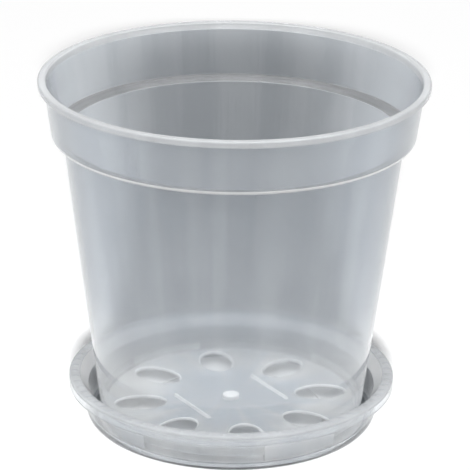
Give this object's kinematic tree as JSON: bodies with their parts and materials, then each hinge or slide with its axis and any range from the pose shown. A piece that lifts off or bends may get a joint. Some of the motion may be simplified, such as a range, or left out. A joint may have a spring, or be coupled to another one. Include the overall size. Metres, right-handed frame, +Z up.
{
  "type": "orchid pot",
  "caption": "Clear round orchid pot with a wide collar, rolled rim and oval drain holes in a raised floor, standing loose in a matching saucer with a ribbed lip.",
  "frame": {"origin": "centre of the saucer's underside, on the surface that it stands on", "axes": "+Z up along the axis of the pot and the saucer, -Y towards the viewer of the picture, +X to the right"},
  "size_m": [0.15, 0.15, 0.1394],
  "materials": {
    "saucer_plastic": "clear polypropylene, slightly milky, glossy",
    "pot_plastic": "clear polypropylene, slightly milky, glossy"
  },
  "bodies": {
    "saucer": {"saucer": "saucer_plastic"},
    "pot": {"pot": "pot_plastic"}
  },
  "joints": [
    {"name": "pot_lift", "type": "slide", "parent": "saucer", "child": "pot", "axis": [0, 0, 1], "range_m": [0, 0.06]}
  ]
}
